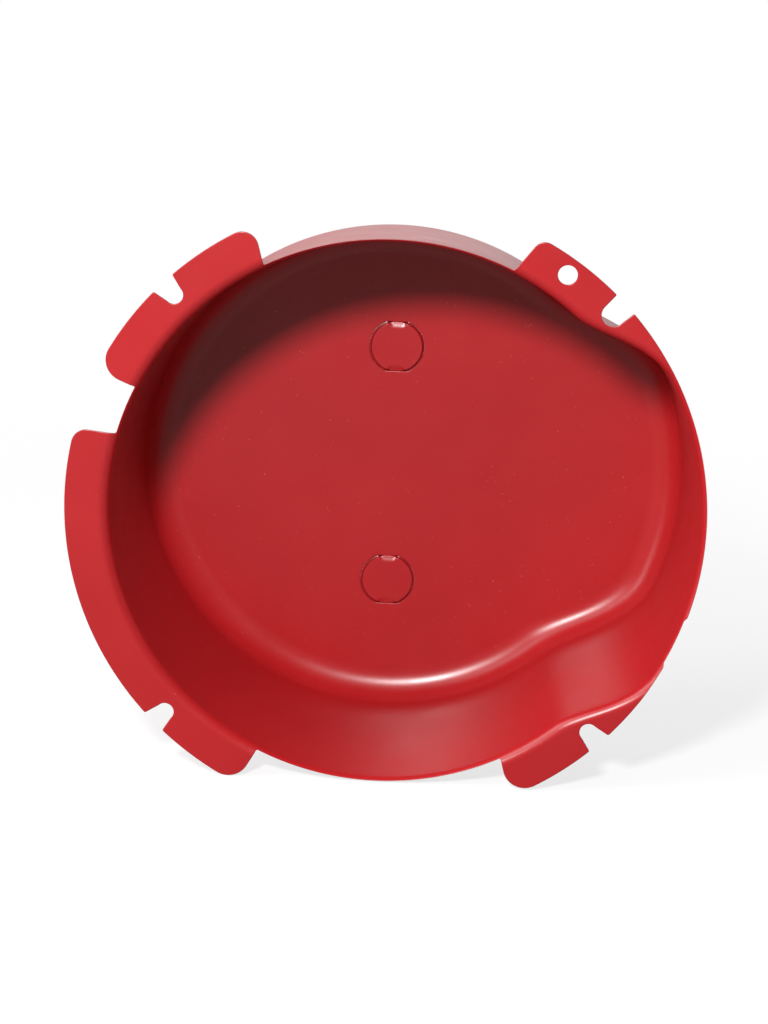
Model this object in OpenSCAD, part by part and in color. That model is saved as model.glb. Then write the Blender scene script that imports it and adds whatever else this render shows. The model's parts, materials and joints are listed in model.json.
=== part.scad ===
// Pressed-steel back dome of a fire alarm sounder: a deep-drawn shell with a side lobe,
// trimmed flange tabs with open screw slots, and two knock-out slugs held by webs.
// The shell stands upright: +Z is up, the mouth faces -Y and the flat back lies on y = 0.

/* [Shell] */
// Radius that the flange, and the lobe's rim, are trimmed to
flange_r = 116; // [112:1:122]
// Inner radius of the main wall where it meets the mouth's bend
mouth_r = 100; // [96:1:102]
// Inner radius of the main wall where it meets the back's fillet
back_r = 94; // [88:1:95]
// Depth from the back's outer face to the flange's front face
depth = 80; // [60:1:100]
// Sheet thickness
sheet = 1; // [0.8:0.1:1.5]
// Inner radius of the fillet between back and wall
fillet_r = 11; // [8:1:16]
// Radius of the bend between wall and flange, on the mouth side
bend_r = 4; // [3:0.5:5]

/* [Side lobe] */
// Inner radius of the lobe's wall at the mouth
lobe_mouth_r = 114.2; // [112:0.1:114.6]
// Inner radius of the lobe's wall at the back
lobe_back_r = 110.8; // [107:0.1:111]
// Half angle over which the lobe keeps its full radius at the mouth
lobe_full_mouth = 28; // [18:1:32]
// Half angle at which the lobe has died away at the mouth
lobe_end_mouth = 50; // [44:1:58]
// Half angle over which the lobe keeps its full radius at the back
lobe_full_back = 21; // [16:1:24]
// Half angle at which the lobe has died away at the back
lobe_end_back = 50; // [44:1:54]

/* [Flange] */
// Radius that the rim is trimmed to between the tabs
rim_r = 101.2; // [100.8:0.1:102]
// Radius at which the slots end, to the centre of their round end
slot_ring_r = 110.2; // [109.5:0.1:111]
// Radius of a slot's round end
slot_r = 3.3; // [3:0.1:4]
// Radius of the wide slot's round end
wide_slot_r = 4.2; // [4:0.1:4.5]
// Half width of a slot's open mouth
slot_mouth = 4.6; // [4.5:0.1:5]
// Radius of the hanging hole
hang_hole_r = 3.5; // [2.5:0.1:4]
// Radius, from the shell's axis, of the hanging hole's centre
hang_ring_r = 110; // [109:0.1:111]
// Radius that the shallow relief in the lobe's rim is cut to
relief_r = 115.3; // [115.2:0.1:115.8]

/* [Tab ends] */
// Angles are anticlockwise, as seen from the mouth. A root's angle is from +X, an edge's lean is from
// radial, and the tabs follow one another anticlockwise, from the one at the upper right.
// Angle at which the upper right tab's end meets the rim
end_1_angle = 65.4; // [63:0.1:68]
// Lean of the upper right tab's end
end_1_lean = -13; // [-15:0.5:5]
// Corner radius of the upper right tab's end
end_1_corner = 4.5; // [3:0.5:8]
// Angle at which the upper left tab's upper end meets the rim
end_2_angle = 117.3; // [115:0.1:120]
// Lean of the upper left tab's upper end
end_2_lean = -12; // [-15:0.5:5]
// Corner radius of the upper left tab's upper end
end_2_corner = 6; // [3:0.5:8]
// Angle at which the upper left tab's lower end meets the rim
end_3_angle = 154.4; // [152:0.1:156]
// Lean of the upper left tab's lower end
end_3_lean = 3; // [-5:0.5:5]
// Corner radius of the upper left tab's lower end
end_3_corner = 8; // [3:0.5:9]
// Angle at which the long left tab's upper end meets the rim
end_4_angle = 165; // [163:0.1:167]
// Lean of the long left tab's upper end
end_4_lean = 9; // [-5:0.5:12]
// Corner radius of the long left tab's upper end
end_4_corner = 5.5; // [3:0.5:8]
// Angle at which the long left tab's lower end meets the rim
end_5_angle = 244.4; // [242:0.1:247]
// Lean of the long left tab's lower end
end_5_lean = -4; // [-10:0.5:5]
// Corner radius of the long left tab's lower end
end_5_corner = 8; // [3:0.5:9]
// Angle at which the lower right tab's end meets the rim
end_6_angle = 297.2; // [295:0.1:300]
// Lean of the lower right tab's end
end_6_lean = -12; // [-15:0.5:5]
// Corner radius of the lower right tab's end
end_6_corner = 8; // [3:0.5:9]

/* [Knock-outs] */
// Radius of a knock-out hole
hole_r = 10.25; // [8:0.05:12]
// Height of each knock-out above or below the shell's axis
hole_z = 46.3; // [40:0.1:52]
// Gap cut round a slug
slug_gap = 0.25; // [0.1:0.01:0.4]
// Distance that a slug stands in from the back
slug_step = 0.6; // [0.3:0.1:0.8]
// Half width of a web
web_half = 3.6; // [2.5:0.1:4.5]
// Length of a web's ramp
web_len = 2.6; // [2:0.1:4]
// Gap where a web's end is parted from the back
web_gap = 0.06; // [0.04:0.01:0.1]

/* [Hidden] */

round_fn = 96;
steps_round = 144;
fillet_steps = 5;
bend_steps = 3;
over = 2;
skin_r = flange_r + 8;
shell_red = [0.76, 0.13, 0.14];
slug_red = [0.70, 0.11, 0.13];

// Each gap between tabs runs from one tab's end to the next
gaps = [
    [[end_1_angle, end_1_lean, end_1_corner], [end_2_angle, end_2_lean, end_2_corner]],
    [[end_3_angle, end_3_lean, end_3_corner], [end_4_angle, end_4_lean, end_4_corner]],
    [[end_5_angle, end_5_lean, end_5_corner], [end_6_angle, end_6_lean, end_6_corner]]
];
slot_angles = [135, 225, 315];
wide_slot_angle = 45;
hang_angle = 56.3;
relief_span = [333.7, 343.7];

// Share of the lobe at angle a: 1 over the lobe, 0 round the main wall, smooth between
function lobe_share(a, full, end) =
    let (away = abs(a > 180 ? a - 360 : a), u = min(1, max(0, (end - away) / (end - full))))
    u * u * (3 - 2 * u);
function blend(low, high, share) = low + (high - low) * share;
function back_at(a) = blend(back_r, lobe_back_r, lobe_share(a, lobe_full_back, lobe_end_back));
function mouth_at(a) = blend(mouth_r, lobe_mouth_r, lobe_share(a, lobe_full_mouth, lobe_end_mouth));

// The wall leans out by this angle on its way to the mouth
function lean_at(a) = atan2(mouth_at(a) - back_at(a), depth - sheet - fillet_r - bend_r);

// Section through one side of the shell at angle a, as [radius, height] pairs from back to flange.
// skin is 0 for the inner face and the sheet thickness for the outer one.
function section_at(a, skin) =
    let (
        lean = lean_at(a),
        fillet_x = back_at(a) - fillet_r,
        fillet_z = sheet + fillet_r,
        bend_x = mouth_at(a) + bend_r,
        bend_z = depth - bend_r,
        r_fillet = fillet_r + skin,
        r_bend = bend_r - skin
    )
    concat(
        [for (i = [0:fillet_steps])
            let (t = (90 - lean) * i / fillet_steps)
            [fillet_x + r_fillet * sin(t), fillet_z - r_fillet * cos(t)]],
        [for (i = [0:bend_steps])
            let (t = lean + (90 - lean) * i / bend_steps)
            [bend_x - r_bend * cos(t), bend_z + r_bend * sin(t)]],
        [[skin_r, depth - skin]]
    );

// The drawn cup before trimming: rings of points down the inner face, then up the outer one
module drawn_cup() {
    step = 360 / steps_round;
    sections = [for (s = [0:steps_round - 1])
        let (inner = section_at(s * step, 0), outer = section_at(s * step, sheet))
        concat(inner, [for (i = [len(outer) - 1:-1:0]) outer[i]])];
    rings = len(sections[0]);
    points = [for (k = [0:rings - 1], s = [0:steps_round - 1])
        [sections[s][k][0] * cos(s * step), sections[s][k][0] * sin(s * step), sections[s][k][1]]];
    sides = [for (k = [0:rings - 2], s = [0:steps_round - 1])
        let (n = (s + 1) % steps_round, low = k * steps_round, high = low + steps_round)
        each [[low + s, high + s, high + n], [low + s, high + n, low + n]]];
    inner_floor = [for (s = [0:steps_round - 1]) s];
    outer_floor = [for (s = [steps_round - 1:-1:0]) (rings - 1) * steps_round + s];
    polyhedron(points, concat([inner_floor], sides, [outer_floor]), convexity = 8);
}

// Distance from p along the unit vector d to the circle of radius r about the shell's axis
function reach(p, d, r) = let (along = p * d) sqrt(along * along - p * p + r * r) - along;
function unit(a) = [cos(a), sin(a)];

// A tab's end: the point where it meets the rim, and the way its edge runs from there
function end_root(end) = rim_r * unit(end[0]);
function end_way(end) = unit(end[0] + end[1]);

// The gap between two tabs, out to beyond the flange
module gap_waste(gap) {
    first = end_root(gap[0]);
    last = end_root(gap[1]);
    first_far = first + end_way(gap[0]) * reach(first, end_way(gap[0]), skin_r + over);
    last_far = last + end_way(gap[1]) * reach(last, end_way(gap[1]), skin_r + over);
    middle = (gap[0][0] + gap[1][0]) / 2;
    difference() {
        polygon([[0, 0], first, first_far, 2 * skin_r * unit(middle), last_far, last]);
        circle(r = rim_r, $fn = round_fn);
    }
}

// The waste outside the rounded corner where a tab's end meets the flange's edge. The tab lies
// clockwise of its end where side is 1, and anticlockwise where side is -1.
module corner_waste(end, side) {
    root = end_root(end);
    way = end_way(end);
    corner = end[2];
    inset = root - side * corner * [-way.y, way.x];
    centre = inset + way * reach(inset, way, flange_r - corner);
    sharp = root + way * reach(root, way, flange_r);
    difference() {
        polygon([
            centre, centre + side * corner * [-way.y, way.x],
            centre + 2 * (sharp - centre), centre * flange_r / (flange_r - corner)
        ]);
        translate(centre) circle(r = corner, $fn = round_fn);
    }
}

// Everything the trimming die removes
module trim_waste() {
    for (gap = gaps) {
        gap_waste(gap);
        corner_waste(gap[0], 1);
        corner_waste(gap[1], -1);
    }
    difference() {
        polygon([
            relief_r / 2 * unit(relief_span[0]), 2 * skin_r * unit(relief_span[0]),
            2 * skin_r * unit(relief_span[1]), relief_r / 2 * unit(relief_span[1])
        ]);
        circle(r = relief_r, $fn = round_fn);
    }
    difference() {
        circle(r = skin_r + over, $fn = round_fn);
        circle(r = flange_r, $fn = round_fn);
    }
}

// An open slot along +X: a round end, and sides that spread to the flange's edge
module slot(end_r) {
    translate([slot_ring_r, 0, depth - 2 * bend_r]) cylinder(r = end_r, h = 3 * bend_r, $fn = round_fn);
    translate([0, 0, depth - 2 * bend_r]) linear_extrude(3 * bend_r)
        polygon([
            [slot_ring_r, -end_r], [flange_r, -slot_mouth], [skin_r + over, -slot_mouth],
            [skin_r + over, slot_mouth], [flange_r, slot_mouth], [slot_ring_r, end_r]
        ]);
}

// Turns a piece from the press's frame, mouth up, to the mounted one, mouth towards -Y
module upright() {
    rotate([90, 0, 0]) children();
}

module dome_shell() {
    color(shell_red) upright() difference() {
        drawn_cup();
        translate([0, 0, depth - 3 * bend_r]) linear_extrude(4 * bend_r) trim_waste();
        for (a = slot_angles) rotate(a) slot(slot_r);
        rotate(wide_slot_angle) slot(wide_slot_r);
        rotate(hang_angle) translate([hang_ring_r, 0, depth - 2 * bend_r])
            cylinder(r = hang_hole_r, h = 3 * bend_r, $fn = round_fn);
        for (side = [-1, 1]) translate([0, side * hole_z, -over])
            cylinder(r = hole_r, h = sheet + 2 * over, $fn = round_fn);
    }
}

// A slug: a disc stepped in from the back, with a ramped web at its top and bottom
module slug() {
    web_start = hole_r - web_len;
    difference() {
        translate([0, 0, slug_step]) cylinder(r = hole_r - slug_gap, h = sheet, $fn = round_fn);
        for (side = [-1, 1]) translate([-web_half, side * hole_r - web_len, -over])
            cube([2 * web_half, 2 * web_len, 3 * over + sheet]);
    }
    intersection() {
        translate([0, 0, -over]) cylinder(r = hole_r - web_gap, h = 3 * over + sheet, $fn = round_fn);
        for (side = [-1, 1]) translate([web_half, 0, 0]) rotate([90, 0, -90]) linear_extrude(2 * web_half)
            polygon([
                [side * web_start, slug_step], [side * hole_r, 0],
                [side * hole_r, sheet], [side * web_start, slug_step + sheet]
            ]);
    }
}

module upper_knockout() {
    color(slug_red) upright() translate([0, hole_z, 0]) slug();
}

module lower_knockout() {
    color(slug_red) upright() translate([0, -hole_z, 0]) slug();
}

dome_shell();
upper_knockout();
lower_knockout();
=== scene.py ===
"""Red pressed-steel back dome of a fire alarm sounder, with its two knock-out slugs, in a pale studio.

The shell and slugs are rebuilt here as fine smooth skins on the CAD's own dimensions. Plan
coordinates are (x, z), as seen from the mouth, and a height is the distance from the back, -y.
"""

import json
import math

import bmesh
import bpy
import numpy as np
from mathutils import Matrix, Vector, kdtree
from mathutils.geometry import delaunay_2d_cdt


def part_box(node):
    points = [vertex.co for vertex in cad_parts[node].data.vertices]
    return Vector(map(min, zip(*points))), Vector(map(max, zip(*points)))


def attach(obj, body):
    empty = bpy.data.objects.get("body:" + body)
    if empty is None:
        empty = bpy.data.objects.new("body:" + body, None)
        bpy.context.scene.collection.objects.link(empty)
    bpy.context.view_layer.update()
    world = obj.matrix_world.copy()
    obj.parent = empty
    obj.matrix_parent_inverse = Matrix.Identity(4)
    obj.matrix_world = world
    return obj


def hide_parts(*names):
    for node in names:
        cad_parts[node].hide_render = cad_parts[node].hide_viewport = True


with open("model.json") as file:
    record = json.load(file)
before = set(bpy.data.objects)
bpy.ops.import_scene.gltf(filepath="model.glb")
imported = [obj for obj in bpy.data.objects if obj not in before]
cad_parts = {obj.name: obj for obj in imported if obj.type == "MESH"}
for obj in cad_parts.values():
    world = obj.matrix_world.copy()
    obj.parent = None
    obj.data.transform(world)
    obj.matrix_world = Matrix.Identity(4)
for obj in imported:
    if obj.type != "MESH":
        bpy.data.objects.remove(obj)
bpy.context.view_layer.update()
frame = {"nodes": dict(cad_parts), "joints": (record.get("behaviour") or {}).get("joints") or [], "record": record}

MM = 0.001
mounts = {mount["name"]: mount for mount in frame["record"]["mounts"]}

# Dimensions that the frame gives
shell_low, shell_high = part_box("dome_shell")
FLANGE_R = (shell_high.x - shell_low.x) / 2
DEPTH = shell_high.y - shell_low.y
SHEET = mounts["hanging_hole"]["dims"]["length_mm"] * MM

# The rest of the shell's section, as in the CAD
MOUTH_R, BACK_R = 100 * MM, 94 * MM
LOBE_MOUTH_R, LOBE_BACK_R = 114.2 * MM, 110.8 * MM
LOBE_FULL_MOUTH, LOBE_END_MOUTH = 28, 50
LOBE_FULL_BACK, LOBE_END_BACK = 21, 50
FILLET_R, BEND_R = 11 * MM, 4 * MM

# The flange's trimmed outline, as in the CAD. Angles are anticlockwise from +X, in degrees.
RIM_R = 101.2 * MM
RELIEF_R = 115.3 * MM
RELIEF = (333.7, 343.7)
RELIEF_SLOPE = 0.6
SLOT_MOUTH = 4.6 * MM
# Each tab end: angle of its root, lean of its edge from radial, corner radius
TAB_ENDS = [
    (65.4, -13, 4.5 * MM), (117.3, -12, 6 * MM),
    (154.4, 3, 8 * MM), (165, 9, 5.5 * MM),
    (244.4, -4, 8 * MM), (297.2, -12, 8 * MM),
]

# Knock-outs
SLUG_GAP = 0.25 * MM
SLUG_STEP = 0.6 * MM
# Die roll that widens the gap on both sides
ROLL = 0.28 * MM
WEB_HALF = 3.6 * MM
WEB_LEN = 2.6 * MM
# A dark sheet at a slug's foot, which closes the gap round it as painted shade in the groove
LIP = 0.1 * MM
LIP_GAP = 0.02 * MM

# How far each sharp corner of the outline is eased
CORNER_CUT = 0.6 * MM
# Rounding of the trimmed arrises, and of the knock-outs' arrises
EDGE_ROUND = 0.3 * MM
CUT_ROUND = 0.35 * MM

# Mesh fineness
COLUMNS = 720
FILLET_ROWS, WALL_ROWS, BEND_ROWS = 14, 8, 9
EDGE_STEP = 0.55 * MM
FINE_STEP = 0.3 * MM
BACK_SPACING = 4.5 * MM
SLUG_SPACING = 0.6 * MM
# The wall's rows of quads end here, and the mesh round the bend and flange starts
WALL_TOP = DEPTH - 8 * MM


# ---------------------------------------------------------------- plan geometry

def unit(angle):
    """Unit vector, or row of them, at an angle in degrees."""
    a = np.radians(angle)
    return np.stack([np.cos(a), np.sin(a)], axis=-1)


def arc(centre, radius, start, end, step=EDGE_STEP):
    """Points along an arc, without its last one."""
    count = max(2, math.ceil(abs(math.radians(end - start)) * radius / step))
    return np.asarray(centre) + radius * unit(np.linspace(start, end, count, endpoint=False))


def line(start, end, step=EDGE_STEP):
    """Points along a straight line, without its last one."""
    start, end = np.asarray(start, float), np.asarray(end, float)
    count = max(2, math.ceil(np.linalg.norm(end - start) / step))
    return start + np.linspace(0, 1, count, endpoint=False)[:, None] * (end - start)


def reach(point, way, radius):
    """Distance from a point along a unit vector to the circle of that radius about the axis."""
    along = point @ way
    return math.sqrt(along * along - point @ point + radius * radius) - along


def tab_end(end, side):
    """A tab's end, from its root on the rim to the flange's edge.

    side is 1 where the tab lies clockwise of its end, and -1 where it lies anticlockwise.
    """
    angle, lean, corner = end
    root, way = RIM_R * unit(angle), unit(angle + lean)
    across = side * np.array([-way[1], way[0]])
    inset = root - corner * across
    centre = inset + way * reach(inset, way, FLANGE_R - corner)
    start = math.degrees(math.atan2(across[1], across[0]))
    sweep = (math.degrees(math.atan2(centre[1], centre[0])) - start + 180) % 360 - 180
    turn = arc(centre, corner, start, start + sweep, FINE_STEP)
    touch = centre * FLANGE_R / (FLANGE_R - corner)
    return np.concatenate([line(root, centre + corner * across), turn, [touch]])


def slot_path(mount):
    """An open slot's side, round end and side, and the angles where its mouth starts and ends."""
    x, _, z = mount["pos_m"]
    middle_r, radius = math.hypot(x, z), mount["dims"]["r_mm"] * MM
    mouth_x = math.sqrt(FLANGE_R**2 - SLOT_MOUTH**2)
    local = np.concatenate([
        line((mouth_x, -SLOT_MOUTH), (middle_r, -radius)),
        arc((middle_r, 0), radius, -90, -270, FINE_STEP),
        line((middle_r, radius), (mouth_x, SLOT_MOUTH)),
    ])
    out, left = np.array([x, z]) / middle_r, np.array([-z, x]) / middle_r
    half = math.degrees(math.asin(SLOT_MOUTH / FLANGE_R))
    middle = math.degrees(math.atan2(z, x)) % 360
    return local[:, :1] * out + local[:, 1:] * left, middle - half, middle + half


def flange_outline():
    """The flange's whole trimmed edge, anticlockwise from the end of the relief in the lobe's rim."""
    places = ("upper_right", "upper_left", "lower_left", "lower_right")
    slots = [slot_path(mounts["slot_" + place]) for place in places]
    path, at = [], RELIEF[1] - 360

    def along_flange(to):
        path.append(arc((0, 0), FLANGE_R, at, to))

    for number, (slot, opens, closes) in enumerate(slots):
        along_flange(opens)
        path.append(slot)
        at = closes
        if number < 3:
            before, after = TAB_ENDS[2 * number:2 * number + 2]
            first, last = tab_end(before, 1), tab_end(after, -1)
            along_flange(math.degrees(math.atan2(first[-1][1], first[-1][0])) % 360)
            path += [first[::-1], arc((0, 0), RIM_R, before[0], after[0])[1:], last]
            at = math.degrees(math.atan2(last[-1][1], last[-1][0])) % 360
    along_flange(RELIEF[0])
    path.append(arc((0, 0), RELIEF_R, RELIEF[0] + RELIEF_SLOPE, RELIEF[1] - RELIEF_SLOPE))
    loop = np.concatenate(path)
    apart = np.linalg.norm(np.roll(loop, -1, 0) - loop, axis=1)
    return soften(loop[apart > 0.01 * MM], CORNER_CUT)


def curve(start, pull, end, t):
    """A point of the curve that leaves start and reaches end along the lines through pull."""
    return (1 - t)**2 * start + 2 * t * (1 - t) * pull + t * t * end


def soften(loop, cut):
    """Replaces each sharp corner of a closed loop by a small curve that starts cut away from it."""
    ahead = np.roll(loop, -1, 0) - loop
    length = np.linalg.norm(ahead, axis=1)
    way = ahead / length[:, None]
    turn = np.arccos(np.clip((way * np.roll(way, 1, 0)).sum(1), -1, 1))
    corners = np.flatnonzero(turn > math.radians(35))
    marks = np.concatenate([[0], np.cumsum(length)])
    total, place = marks[-1], marks[:-1]
    closed = np.concatenate([loop, loop[:1]])

    def at(s):
        return np.array([np.interp(s % total, marks, closed[:, k]) for k in (0, 1)])

    kept = {}
    for s, point in zip(place, loop):
        if all(abs((s - place[k] + total / 2) % total - total / 2) > cut * 1.02 for k in corners):
            kept[s] = point
    for k in corners:
        before, after = at(place[k] - cut), at(place[k] + cut)
        for t in np.linspace(0, 1, 6):
            kept[(place[k] + cut * (2 * t - 1)) % total] = curve(before, loop[k], after, t)
    return np.array([kept[s] for s in sorted(kept)])


def outward(loop):
    """Unit vectors out of the material along a loop that has the material on its left."""
    along = np.roll(loop, -1, 0) - np.roll(loop, 1, 0)
    along /= np.linalg.norm(along, axis=1)[:, None]
    return np.stack([along[:, 1], -along[:, 0]], axis=1)


def inside(points, loops):
    """Which points have an odd number of loop crossings to their right."""
    odd = np.zeros(len(points), bool)
    for loop in loops:
        after = np.roll(loop, -1, 0)
        for (x0, y0), (x1, y1) in zip(loop, after):
            if y0 != y1:
                cross = (y0 > points[:, 1]) != (y1 > points[:, 1])
                odd ^= cross & (points[:, 0] < x0 + (points[:, 1] - y0) * (x1 - x0) / (y1 - y0))
    return odd


def fill(loops, extra, clear):
    """Triangles between loops, through the extra points inside them.

    An extra point nearer than clear to a loop is left out.
    """
    tree = kdtree.KDTree(sum(len(loop) for loop in loops))
    for i, (x, y) in enumerate(np.concatenate(loops)):
        tree.insert((x, y, 0), i)
    tree.balance()
    extra = extra[inside(extra, loops)]
    extra = np.array([p for p in extra if tree.find((p[0], p[1], 0))[2] > clear]).reshape(-1, 2)
    points = np.concatenate(loops + [extra])
    edges, base = [], 0
    for loop in loops:
        edges += [(base + i, base + (i + 1) % len(loop)) for i in range(len(loop))]
        base += len(loop)
    coords, _, faces, *_ = delaunay_2d_cdt([Vector(p) for p in points / MM], edges, [], 0, 1e-6)
    coords = np.array([c[:] for c in coords]) * MM
    faces = np.array(faces)
    middles = coords[faces].mean(axis=1)
    return coords, faces[inside(middles, loops)]


# ---------------------------------------------------------------- the shell's section

def lobe_share(angle, full, end):
    """1 over the lobe, 0 round the main wall, and smooth between."""
    away = np.abs((angle + 180) % 360 - 180)
    t = np.clip((end - away) / (end - full), 0, 1)
    return t * t * (3 - 2 * t)


def walls(angle):
    """Inner radius at the back and at the mouth, and the wall's lean, at an angle."""
    back = BACK_R + (LOBE_BACK_R - BACK_R) * lobe_share(angle, LOBE_FULL_BACK, LOBE_END_BACK)
    mouth = MOUTH_R + (LOBE_MOUTH_R - MOUTH_R) * lobe_share(angle, LOBE_FULL_MOUTH, LOBE_END_MOUTH)
    return back, mouth, np.arctan2(mouth - back, DEPTH - SHEET - FILLET_R - BEND_R)


def bend_start(angle, skin):
    """Radius and height where the wall runs into the bend."""
    _, mouth, lean = walls(angle)
    radius = BEND_R - skin
    return mouth + BEND_R - radius * np.cos(lean), DEPTH - BEND_R + radius * np.sin(lean)


def lift(plan, skin):
    """Plan points from the top of the wall outwards, raised to one skin: 0 for the inner face."""
    angle, r = np.degrees(np.arctan2(plan[:, 1], plan[:, 0])), np.hypot(plan[:, 0], plan[:, 1])
    _, mouth, lean = walls(angle)
    start_r, start_h = bend_start(angle, skin)
    radius = BEND_R - skin
    short = np.clip(mouth + BEND_R - r, 0, radius)
    height = DEPTH - BEND_R + np.sqrt(radius**2 - short**2)
    height = np.where(r < start_r, start_h - (start_r - r) / np.tan(lean), height)
    return np.stack([plan[:, 0], -height, plan[:, 1]], axis=1)


def section_rows(skin):
    """Rings of points up one skin, from the floor's edge to the top of the wall."""
    angle = np.arange(COLUMNS) * 360 / COLUMNS
    back, _, lean = walls(angle)
    radius = FILLET_R + skin
    rows = []
    for share in np.linspace(0, 1, FILLET_ROWS):
        t = (math.pi / 2 - lean) * share
        rows.append((back - FILLET_R + radius * np.sin(t), SHEET + FILLET_R - radius * np.cos(t)))
    start_r, start_h = bend_start(angle, skin)
    top_r = start_r - (start_h - WALL_TOP) * np.tan(lean)
    low_r, low_h = rows[-1]
    for share in np.linspace(0, 1, WALL_ROWS + 1)[1:]:
        rows.append((low_r + (top_r - low_r) * share, low_h + (WALL_TOP - low_h) * share))
    way = unit(angle)
    return [np.stack([r * way[:, 0], -h, r * way[:, 1]], axis=1) for r, h in rows]


# ---------------------------------------------------------------- building meshes

class Skin:
    """Collects points and faces, and welds them into one closed mesh."""

    def __init__(self):
        self.bm = bmesh.new()
        self.edge = self.bm.verts.layers.float.new("edge")

    def add(self, points, faces, edge=0.0):
        verts = []
        for point in points:
            vert = self.bm.verts.new(point)
            vert[self.edge] = edge
            verts.append(vert)
        for face in faces:
            self.bm.faces.new([verts[i] for i in face])

    def add_rows(self, rows, edges=None):
        """Joins rings of equal length with quads."""
        count = len(rows[0])
        faces = []
        for k in range(len(rows) - 1):
            for i in range(count):
                n = (i + 1) % count
                faces.append((k * count + i, k * count + n, (k + 1) * count + n, (k + 1) * count + i))
        start = len(self.bm.verts)
        self.add(np.concatenate(rows), faces)
        if edges:
            self.bm.verts.ensure_lookup_table()
            for k, value in enumerate(edges):
                for i in range(count):
                    self.bm.verts[start + k * count + i][self.edge] = value

    def finish(self, name):
        bmesh.ops.remove_doubles(self.bm, verts=self.bm.verts, dist=1e-7)
        bmesh.ops.recalc_face_normals(self.bm, faces=self.bm.faces)
        mesh = bpy.data.meshes.new(name)
        self.bm.to_mesh(mesh)
        self.bm.free()
        for polygon in mesh.polygons:
            polygon.use_smooth = True
        weigh_normals(mesh)
        piece = bpy.data.objects.new(name, mesh)
        bpy.context.scene.collection.objects.link(piece)
        return piece


def weigh_normals(mesh):
    """Sums each vertex's face areas for its normal, so that flats stay flat beside small curves."""
    co = np.zeros(len(mesh.vertices) * 3)
    mesh.vertices.foreach_get("co", co)
    co = co.reshape(-1, 3)
    mesh.calc_loop_triangles()
    tris = np.zeros(len(mesh.loop_triangles) * 3, int)
    mesh.loop_triangles.foreach_get("vertices", tris)
    tris = tris.reshape(-1, 3)
    area = np.cross(co[tris[:, 1]] - co[tris[:, 0]], co[tris[:, 2]] - co[tris[:, 0]])
    normal = np.zeros_like(co)
    for k in range(3):
        np.add.at(normal, tris[:, k], area)
    normal /= np.maximum(np.linalg.norm(normal, axis=1), 1e-30)[:, None]
    mesh.normals_split_custom_set_from_vertices(normal)


def cut_edge(skin, loop, rounding, inner, outer):
    """Joins the two skins along a trimmed loop, with both arrises rounded.

    inner and outer lift plan points to the two skins.
    """
    inset = loop - outward(loop) * rounding
    down = np.array([0, rounding, 0])
    rows = [inner(inset)]
    for t in (0.25, 0.5, 0.75, 1):
        rows.append(curve(inner(inset), inner(loop), inner(loop) + down, t))
    for t in (0, 0.25, 0.5, 0.75, 1):
        rows.append(curve(outer(loop) - down, outer(loop), outer(inset), t))
    # The weights darken the cut face: thin paint on the sheared steel, and painted shade down the knock-outs'
    # grooves
    skin.add_rows(rows, [0, 0, 0.2, 0.6, 1, 1, 0.6, 0.2, 0, 0])


def knockout_loop(centre, bend_line, hole_r, gap):
    """A knock-out's outline, and which of its points lie on its two straight bend lines."""
    radius = hole_r - gap
    tilt = math.degrees(math.asin(bend_line / radius)) if bend_line < radius else 90
    corner = math.sqrt(max(radius**2 - bend_line**2, 0))
    right = arc((0, 0), radius, -tilt, tilt, FINE_STEP)
    top = line((corner, bend_line), (-corner, bend_line), FINE_STEP)
    loop = np.concatenate([right, top, -right, -top])
    straight = np.abs(loop[:, 1]) > bend_line - 1e-7
    return loop + centre, straight


# ---------------------------------------------------------------- the pieces

def ring(radius, angle):
    """A ring of plan points whose radius varies with the angle."""
    return radius[:, None] * unit(angle)


def flat_grid(spacing, limit):
    """A hexagonal grid of plan points out to a radius."""
    count = int(limit / spacing) + 2
    i, j = np.meshgrid(np.arange(-count, count + 1), np.arange(-count, count + 1))
    points = np.stack([(i + (j % 2) / 2) * spacing, j * spacing * math.sqrt(0.75)], axis=-1).reshape(-1, 2)
    return points[np.hypot(points[:, 0], points[:, 1]) < limit]


def knockouts():
    """Each knock-out: its node, body, centre, bend line, hole radius."""
    found = []
    for joint in frame["joints"]:
        body = joint["child"]
        node = frame["record"]["behaviour"]["bodies"][body][0]
        low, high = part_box(node)
        centre = np.array([(low.x + high.x) / 2, (low.z + high.z) / 2])
        bend = joint["pos_m"][2] - centre[1]
        found.append((node, body, centre, bend, (high.x - low.x) / 2 + SLUG_GAP))
    return found


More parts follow.
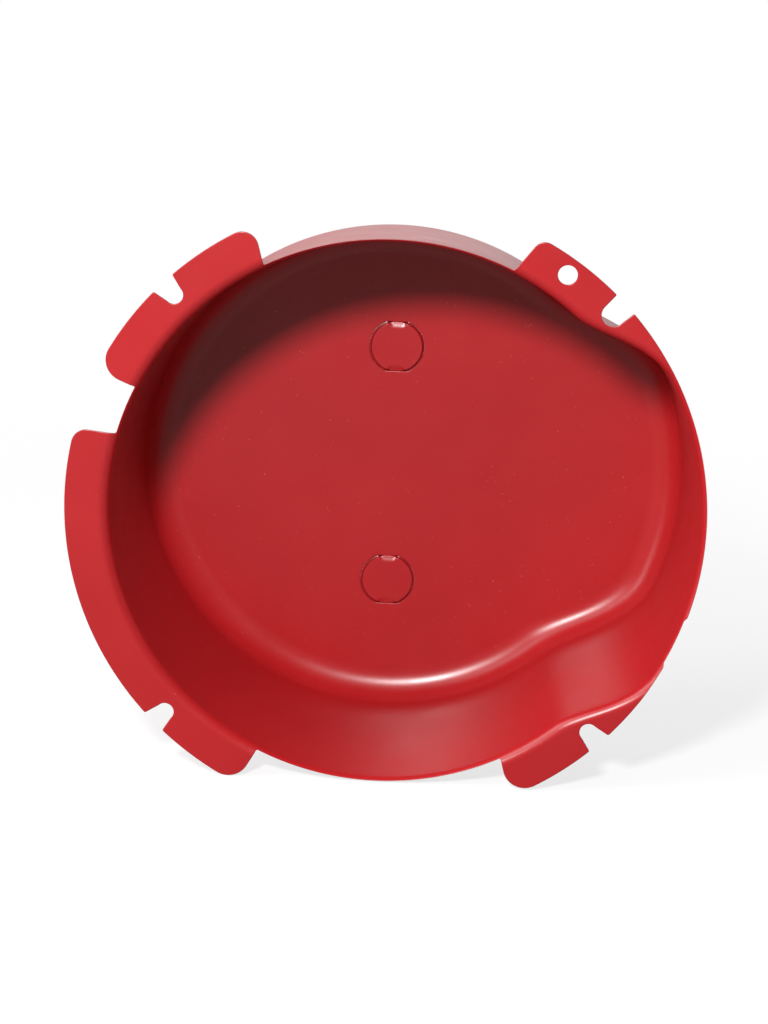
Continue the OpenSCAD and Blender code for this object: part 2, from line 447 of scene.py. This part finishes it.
def build_shell():
    """The drawn shell: wall, flange and flat back in two skins, joined round every trimmed edge."""
    skin = Skin()
    angle = np.arange(COLUMNS) * 360 / COLUMNS
    outline = flange_outline()
    hang = mounts["hanging_hole"]
    hang_at, hang_r = (hang["pos_m"][0], hang["pos_m"][2]), hang["dims"]["r_mm"] * MM
    hang_loop = arc(hang_at, hang_r, 360, 0, FINE_STEP)
    flange_loops = [outline, hang_loop]
    hole_loops = []
    for _, _, centre, bend, radius in knockouts():
        loop, _ = knockout_loop(centre, bend, radius, -ROLL)
        hole_loops.append(loop[::-1])

    for sheet in (0.0, SHEET):
        rows = section_rows(sheet)
        skin.add_rows(rows)
        # The flange and the top of the wall
        start_r, _ = bend_start(angle, sheet)
        _, mouth, lean = walls(angle)
        top = rows[-1][:, [0, 2]]
        rings = [ring(np.hypot(*top.T) * (1 - s) + start_r * s, angle) for s in (1 / 3, 2 / 3)]
        for s in np.linspace(0, 1, BEND_ROWS):
            t = lean + (math.pi / 2 - lean) * s
            rings.append(ring(mouth + BEND_R - (BEND_R - sheet) * np.cos(t), angle))
        for step in (0.5, 1.6, 3.2, 5.2, 7.4, 9.6, 11.8):
            rings.append(ring(mouth + BEND_R + step * MM, angle)[::2 if step < 2 else 3])
        insets = [loop - outward(loop) * EDGE_ROUND for loop in flange_loops]
        plan, faces = fill([top] + insets, np.concatenate(rings), 0.22 * MM)
        skin.add(lift(plan, sheet), faces.tolist())
        # The flat back
        floor = rows[0][:, [0, 2]]
        inner_rings = [floor[::2] * 0.991, floor[::2] * 0.972]
        grid = flat_grid(BACK_SPACING, LOBE_BACK_R)
        grid = grid[inside(grid, [floor * 0.955])]
        insets = [loop - outward(loop) * CUT_ROUND for loop in hole_loops]
        plan, faces = fill([floor] + insets, np.concatenate(inner_rings + [grid]), 0.3 * MM)
        skin.add(flat(plan, SHEET - sheet), faces.tolist())

    for loop in flange_loops:
        cut_edge(skin, loop, EDGE_ROUND, lambda p: lift(p, 0.0), lambda p: lift(p, SHEET))
    for loop in hole_loops:
        cut_edge(skin, loop, CUT_ROUND, lambda p: flat(p, SHEET), lambda p: flat(p, 0.0))
    shell = skin.finish("drawn_shell")
    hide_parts("dome_shell")
    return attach(shell, "shell")


def flat(plan, height):
    """Plan points laid at one height."""
    return np.stack([plan[:, 0], np.full(len(plan), -height), plan[:, 1]], axis=1)


def smooth(t):
    """0 below t = 0, 1 above t = 1, and an eased step between."""
    t = np.clip(t, 0, 1)
    return t * t * (3 - 2 * t)


def build_slug(node, body, centre, bend, hole_r):
    """A knock-out's slug: stepped in from the back, and drawn down to it at the two webs."""
    loop, straight = knockout_loop(np.zeros(2), bend, hole_r, SLUG_GAP + ROLL)

    def raised(plan, base):
        across, along = np.abs(plan[:, 0]), np.abs(plan[:, 1])
        rise = (along - bend + WEB_LEN) / WEB_LEN
        web = smooth((WEB_HALF * (0.6 + 0.6 * np.clip(rise, 0, 1)) - across) / (0.3 * WEB_HALF))
        ramp = smooth(rise)
        height = base + SLUG_STEP * (1 - web * ramp)
        return np.stack([plan[:, 0] + centre[0], -height, plan[:, 1] + centre[1]], axis=1)

    skin = Skin()
    inset = loop - outward(loop) * CUT_ROUND
    lip = loop + outward(loop) * np.where(straight, 0.0, SLUG_GAP + 2 * ROLL - LIP_GAP)[:, None]
    for border, base in ((inset, SHEET), (lip, 0.0)):
        plan, faces = fill([border], flat_grid(SLUG_SPACING, hole_r), 0.25 * MM)
        skin.add(raised(plan, base), faces.tolist())
    rows = []
    for t in (0, 0.25, 0.5, 0.75, 1):
        low = raised(loop, SHEET - CUT_ROUND)
        rows.append(curve(raised(inset, SHEET), raised(loop, SHEET), low, t))
    # The slug's cut side and the sheet across the gap take the dark edge colour, as painted shade in the groove
    rows += [raised(loop, LIP), raised(lip, LIP), raised(lip, 0.0)]
    skin.add_rows(rows, [0, 0, 0.1, 0.5, 1, 1, 1, 0.5])
    slug = skin.finish(node + "_slug")
    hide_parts(node)
    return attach(slug, body)


# ---------------------------------------------------------------- materials

def linear(r, g, b):
    """A colour given as sRGB bytes, in linear light."""
    channels = [c / 255 for c in (r, g, b)]
    return [((c + 0.055) / 1.055) ** 2.4 if c > 0.04 else c / 12.92 for c in channels] + [1.0]


class Nodes:
    """A short way to write a node tree."""

    def __init__(self, material):
        material.use_nodes = True
        self.tree = material.node_tree
        self.tree.nodes.clear()

    def add(self, kind, **values):
        node = self.tree.nodes.new("ShaderNode" + kind)
        for key, value in values.items():
            if hasattr(node, key):
                setattr(node, key, value)
            else:
                self.put(node.inputs[key.replace("_", " ")], value)
        return node

    def put(self, socket, value):
        if isinstance(value, bpy.types.NodeSocket):
            self.tree.links.new(value, socket)
        else:
            socket.default_value = value

    def math(self, operation, a, b=0.0, clamp=False):
        node = self.add("Math", operation=operation, use_clamp=clamp)
        self.put(node.inputs[0], a)
        self.put(node.inputs[1], b)
        return node.outputs[0]

    def spread(self, value, low, high, to_low=0.0, to_high=1.0):
        node = self.add("MapRange", clamp=True)
        for socket, v in zip(node.inputs, (value, low, high, to_low, to_high)):
            self.put(socket, v)
        return node.outputs[0]

    def mix(self, share, a, b):
        node = self.add("Mix", data_type="RGBA")
        self.put(node.inputs[0], share)
        self.put(node.inputs[6], a)
        self.put(node.inputs[7], b)
        return node.outputs[2]

    def noise(self, place, scale, detail=2.0):
        return self.add("TexNoise", Vector=place, Scale=scale, Detail=detail).outputs[0]


def red_paint():
    """Satin red powder coat: orange peel, slight colour drift, dust specks, and cut edges darkened both for thin
    paint and as painted shade in the knock-outs' grooves.
    """
    material = bpy.data.materials.new("red_powder_coat")
    n = Nodes(material)
    place = n.add("TexCoord").outputs["Object"]
    drift = n.spread(n.noise(place, 14, 3), 0.35, 0.65)
    colour = n.mix(drift, linear(158, 24, 28), linear(165, 26, 30))
    speck = n.spread(n.noise(place, 1500, 0), 0.86, 0.90, 0.0, 0.35)
    colour = n.mix(speck, colour, linear(225, 150, 145))
    # Darker cut edges: thin paint on the sheared steel, and painted shade in the grooves round the knock-outs
    edge = n.add("Attribute", attribute_name="edge").outputs["Fac"]
    edge_thin_paint_and_shade = n.math("MULTIPLY", edge, n.spread(n.noise(place, 220, 3), 0.3, 0.7, 0.65, 0.95))
    colour = n.mix(edge_thin_paint_and_shade, colour, linear(120, 3, 8))
    gloss = n.spread(n.noise(place, 60, 3), 0.3, 0.7, 0.28, 0.34)
    peel = n.add("Bump", Strength=0.35, Distance=0.00003, Height=n.noise(place, 900, 1))
    grain = n.noise(place, 3500, 1)
    fine = n.add("Bump", Strength=0.25, Distance=0.00001, Height=grain, Normal=peel.outputs[0])
    shader = n.add("BsdfPrincipled", Base_Color=colour, Roughness=gloss, Normal=fine.outputs[0], IOR=1.5)
    n.put(n.add("OutputMaterial").inputs["Surface"], shader.outputs[0])
    return material


def floor_material():
    """Pale matt floor that fades to plain white away from the object."""
    material = bpy.data.materials.new("pale_floor")
    n = Nodes(material)
    position = n.add("NewGeometry").outputs["Position"]
    away = n.add("VectorMath", operation="LENGTH")
    n.put(away.inputs[0], position)
    fade = n.spread(away.outputs["Value"], 0.22, 0.55)
    seen = n.add("LightPath").outputs["Is Camera Ray"]
    matt = n.add("BsdfDiffuse", Color=n.mix(seen, (0.2, 0.2, 0.2, 1), (0.92, 0.92, 0.92, 1)))
    white = n.add("Emission", Color=(1, 1, 1, 1), Strength=1.0)
    mixed = n.add("MixShader")
    share = n.math("MULTIPLY", seen, n.spread(fade, 0, 1, 0.75, 1.0))
    for socket, value in zip(mixed.inputs, (share, matt.outputs[0], white.outputs[0])):
        n.put(socket, value)
    n.put(n.add("OutputMaterial").inputs["Surface"], mixed.outputs[0])
    return material


# ---------------------------------------------------------------- studio

def make_floor():
    bm = bmesh.new()
    bmesh.ops.create_circle(bm, cap_ends=True, segments=64, radius=6)
    mesh = bpy.data.meshes.new("studio_floor")
    bm.to_mesh(mesh)
    bm.free()
    floor = bpy.data.objects.new("studio_floor", mesh)
    floor.location.z = shell_low.z - 0.4 * MM
    mesh.materials.append(floor_material())
    bpy.context.scene.collection.objects.link(floor)


def aim(obj, way):
    """Points an object's -Z along way."""
    obj.rotation_mode = "QUATERNION"
    obj.rotation_quaternion = Vector(way).to_track_quat("-Z", "Y")


def heading(azimuth, elevation):
    """Unit vector from the object towards a place. Azimuth 0 is straight in front of the mouth."""
    a, e = math.radians(azimuth), math.radians(elevation)
    return Vector((math.sin(a) * math.cos(e), -math.cos(a) * math.cos(e), math.sin(e)))


def add_light(name, azimuth, elevation, distance, size, power):
    back = heading(azimuth, elevation)
    data = bpy.data.lights.new(name, "AREA")
    data.shape, data.size, data.energy = "DISK", size, power
    light = bpy.data.objects.new(name, data)
    light.location = back * distance
    aim(light, -back)
    bpy.context.scene.collection.objects.link(light)
    return light


def make_world():
    """A dim room with a white backdrop, a bright panel on the left, and two soft ones behind.

    The camera itself sees plain white.
    """
    world = bpy.data.worlds.new("studio")
    bpy.context.scene.world = world
    n = Nodes(world)
    view = n.add("TexCoord").outputs["Generated"]
    x, y, _ = n.add("SeparateXYZ", Vector=view).outputs
    room, backdrop, left_panel, soft_panel = 0.12, 1.1, 5, 3
    panel = n.math("MULTIPLY", n.spread(y, -0.6, -0.45), n.spread(y, -0.2, -0.05, 1, 0))
    panel = n.math("MULTIPLY", panel, n.spread(x, -0.6, -0.2, left_panel, 0))
    lit = n.math("ADD", panel, n.spread(y, 0.4, 0.8, room, backdrop))
    for azimuth in (108, 235):
        toward = n.add("VectorMath", operation="DOT_PRODUCT")
        n.put(toward.inputs[0], view)
        n.put(toward.inputs[1], heading(azimuth, 8.05))
        lit = n.math("ADD", lit, n.spread(toward.outputs["Value"], 0.91, 0.97, 0, soft_panel))
    seen = n.add("LightPath").outputs["Is Camera Ray"]
    strength = n.math("MAXIMUM", lit, seen)
    shader = n.add("Background", Color=(1, 1, 1, 1), Strength=strength)
    n.put(n.add("OutputWorld").inputs["Surface"], shader.outputs[0])


def make_camera():
    """The main view: above the axis, slightly to its right, rolled a little."""
    azimuth, elevation, roll = 1.5, 15.1, math.radians(2.35)
    distance, lens = 1.1, 107.3
    back = heading(azimuth, elevation)
    level = Vector((math.cos(math.radians(azimuth)), math.sin(math.radians(azimuth)), 0))
    upright = back.cross(level)
    right = level * math.cos(roll) + upright * math.sin(roll)
    up = upright * math.cos(roll) - level * math.sin(roll)
    data = bpy.data.cameras.new("camera")
    data.lens = lens
    camera = bpy.data.objects.new("camera", data)
    rim_centre = Vector((0, -DEPTH, 0))
    camera.matrix_world = Matrix((right, up, back)).transposed().to_4x4()
    camera.location = rim_centre + back * distance - right * 0.2 * MM + up * 2 * MM
    bpy.context.scene.collection.objects.link(camera)
    bpy.context.scene.camera = camera


paint = red_paint()
shell = build_shell()
slugs = [build_slug(*knockout) for knockout in knockouts()]
for piece in [shell] + slugs:
    piece.data.materials.append(paint)
for node in frame["nodes"].values():
    node.data.materials.clear()
    node.data.materials.append(paint)

make_floor()
make_world()
add_light("key", azimuth=-11.5, elevation=29.3, distance=1.0, size=0.14, power=12.1)
make_camera()
bpy.context.scene.view_settings.view_transform = "Standard"

bpy.context.view_layer.update()
